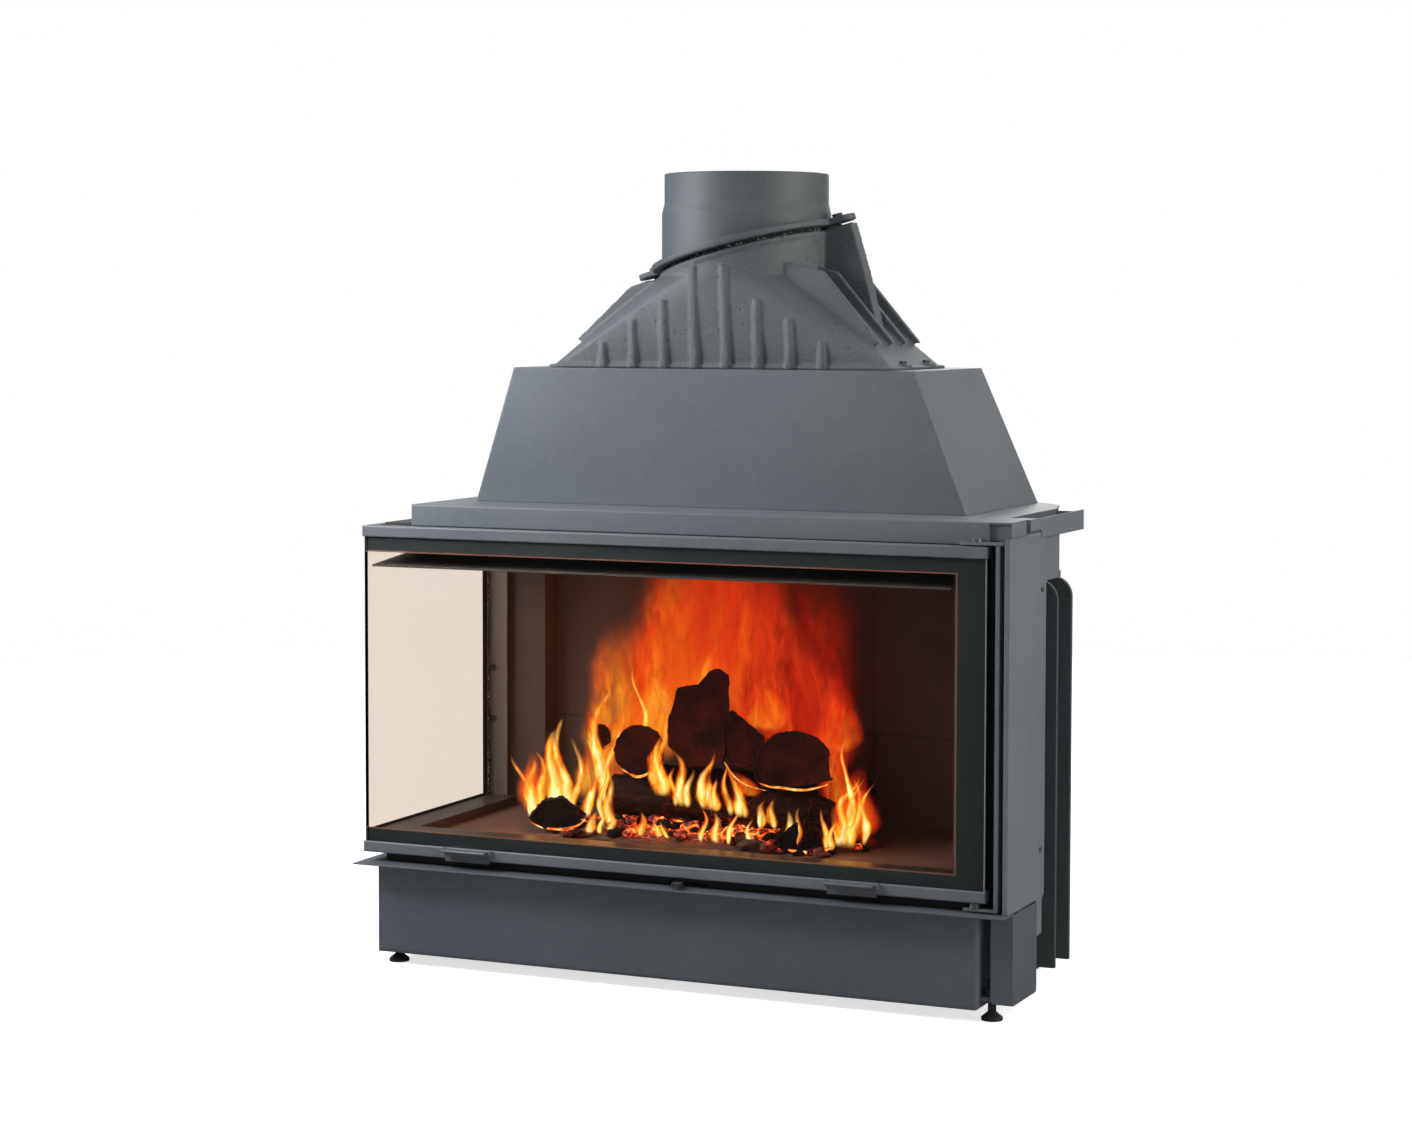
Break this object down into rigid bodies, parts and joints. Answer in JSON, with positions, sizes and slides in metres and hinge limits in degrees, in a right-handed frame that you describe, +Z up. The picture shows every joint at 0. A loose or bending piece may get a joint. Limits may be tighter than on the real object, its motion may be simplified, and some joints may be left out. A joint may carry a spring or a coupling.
{
  "type": "fireplace insert",
  "caption": "Corner fireplace insert with an L-shaped hinged glass door on front and left side, a lined firebox, a tapered steel smoke hood, a cast dome and a round flue collar.",
  "frame": {"origin": "middle of the footprint's bounding box, on the floor under the levelling feet", "axes": "+Z up, -Y out of the front glass, -X towards the glazed side wing"},
  "size_m": [1.04, 0.544, 1.205],
  "materials": {
    "casing_paint": "satin heat-proof graphite paint on steel sheet",
    "base_paint": "satin heat-proof graphite paint on steel sheet",
    "frame_paint": "matt heat-proof black paint on folded steel",
    "door_paint": "satin heat-proof graphite paint on steel profile",
    "cast_iron": "grainy as-cast surface under graphite paint",
    "bright_steel": "zinc-plated steel, dulled",
    "refractory": "cast refractory slab darkened by soot",
    "door_glass": "clear glass ceramic with a black printed border",
    "rope": "braided glass-fibre sealing rope, black",
    "knob_plastic": "moulded heat-proof black plastic"
  },
  "bodies": {
    "root": {"hood_front_panel": "casing_paint", "hood_rear_panel": "casing_paint", "hood_left_panel": "casing_paint", "hood_right_panel": "casing_paint", "top_plate": "casing_paint", "top_front_panel": "casing_paint", "right_gutter": "casing_paint", "right_upper_casing": "casing_paint", "right_side_panel": "casing_paint", "base_plate": "base_paint", "base_front_panel": "base_paint", "base_left_panel": "base_paint", "base_rear_panel": "base_paint", "base_corner_post": "base_paint", "foot_brackets": "base_paint", "lintel_front": "frame_paint", "lintel_left": "frame_paint", "right_jamb": "frame_paint", "sill_front": "frame_paint", "sill_left": "frame_paint", "left_rear_post": "frame_paint", "hinge_frame": "frame_paint", "firebox_floor": "frame_paint", "firebox_back_wall": "frame_paint", "firebox_right_wall": "frame_paint", "air_deflector": "frame_paint", "baffle_rails": "frame_paint", "smoke_dome": "cast_iron", "flue_collar": "cast_iron", "side_fin_plate": "cast_iron", "rear_fin_plate": "cast_iron", "hearth_rim": "cast_iron", "collar_bolts": "bright_steel", "dome_bolts": "bright_steel", "hinge_pins": "bright_steel", "side_panel_screws": "bright_steel", "post_bolts": "bright_steel", "air_inlet_box": "bright_steel", "back_lining": "refractory", "right_lining": "refractory", "left_lining": "refractory", "hearth_floor": "refractory", "flue_seal_rope": "rope", "door_seals": "rope"},
    "door": {"door_top_rail": "door_paint", "door_top_side_rail": "door_paint", "door_bottom_rail": "door_paint", "door_bottom_side_rail": "door_paint", "front_glass": "door_glass", "side_glass": "door_glass", "door_right_stile": "door_paint"},
    "left_catch": {"left_catch": "door_paint"},
    "right_catch": {"right_catch": "door_paint"},
    "air_control": {"air_shutter": "bright_steel", "air_knob": "knob_plastic"},
    "baffle": {"baffle_plate": "refractory"},
    "foot_front_left": {"foot_front_left": "bright_steel"},
    "foot_front_right": {"foot_front_right": "bright_steel"},
    "foot_rear_left": {"foot_rear_left": "bright_steel"},
    "foot_rear_right": {"foot_rear_right": "bright_steel"}
  },
  "joints": [
    {"name": "door_hinge", "type": "hinge", "parent": "root", "child": "door", "pos_m": [0.466, -0.239, 0.172], "axis": [0, 0, 1], "range_deg": [0, 95]},
    {"name": "left_catch_turn", "type": "hinge", "parent": "door", "child": "left_catch", "pos_m": [-0.3345, -0.251, 0.1855], "axis": [-1, 0, 0], "range_deg": [0, 40]},
    {"name": "right_catch_turn", "type": "hinge", "parent": "door", "child": "right_catch", "pos_m": [0.2855, -0.251, 0.1855], "axis": [-1, 0, 0], "range_deg": [0, 40]},
    {"name": "air_slide", "type": "slide", "parent": "root", "child": "air_control", "axis": [1, 0, 0], "range_m": [-0.025, 0.025]},
    {"name": "baffle_lift", "type": "slide", "parent": "root", "child": "baffle", "axis": [0, 0, 1], "range_m": [0, 0.03]},
    {"name": "foot_front_left_screw", "type": "slide", "parent": "root", "child": "foot_front_left", "axis": [0, 0, -1], "range_m": [-0.006, 0.02]},
    {"name": "foot_front_right_screw", "type": "slide", "parent": "root", "child": "foot_front_right", "axis": [0, 0, -1], "range_m": [-0.006, 0.02]},
    {"name": "foot_rear_left_screw", "type": "slide", "parent": "root", "child": "foot_rear_left", "axis": [0, 0, -1], "range_m": [-0.006, 0.02]},
    {"name": "foot_rear_right_screw", "type": "slide", "parent": "root", "child": "foot_rear_right", "axis": [0, 0, -1], "range_m": [-0.006, 0.02]}
  ]
}
